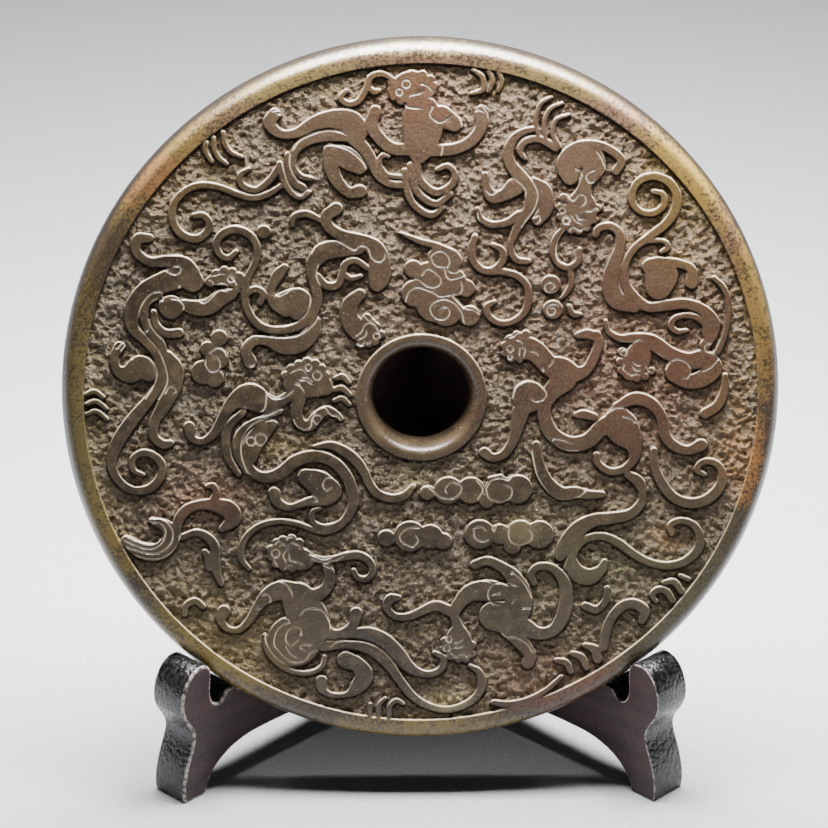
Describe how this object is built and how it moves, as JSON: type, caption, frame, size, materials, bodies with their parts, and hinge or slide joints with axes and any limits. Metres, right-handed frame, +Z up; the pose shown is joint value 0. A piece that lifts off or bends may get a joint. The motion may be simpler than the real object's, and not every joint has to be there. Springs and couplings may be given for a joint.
{
  "type": "jade bi disc on a stand",
  "caption": "Round flat jade disc with a central hole and one face carved with coiling dragons and clouds, leaning on a slotted crossed-board easel stand.",
  "frame": {"origin": "on the ground, midway under the object's bounding box", "axes": "+Z up; the carved face looks along -Y and leans back; +X to the right of someone facing the carving"},
  "size_m": [0.1974, 0.0966, 0.2079],
  "materials": {
    "mottled_jade": "semi-gloss polished dark brown jade with russet and olive-yellow mottling, rough pitted ground",
    "lacquered_wood": "dark reddish brown wood with grainy satin black lacquer on its edges"
  },
  "bodies": {
    "root": {"jade_disc": "mottled_jade", "left_stand_board": "lacquered_wood", "right_stand_board": "lacquered_wood"}
  },
  "joints": []
}
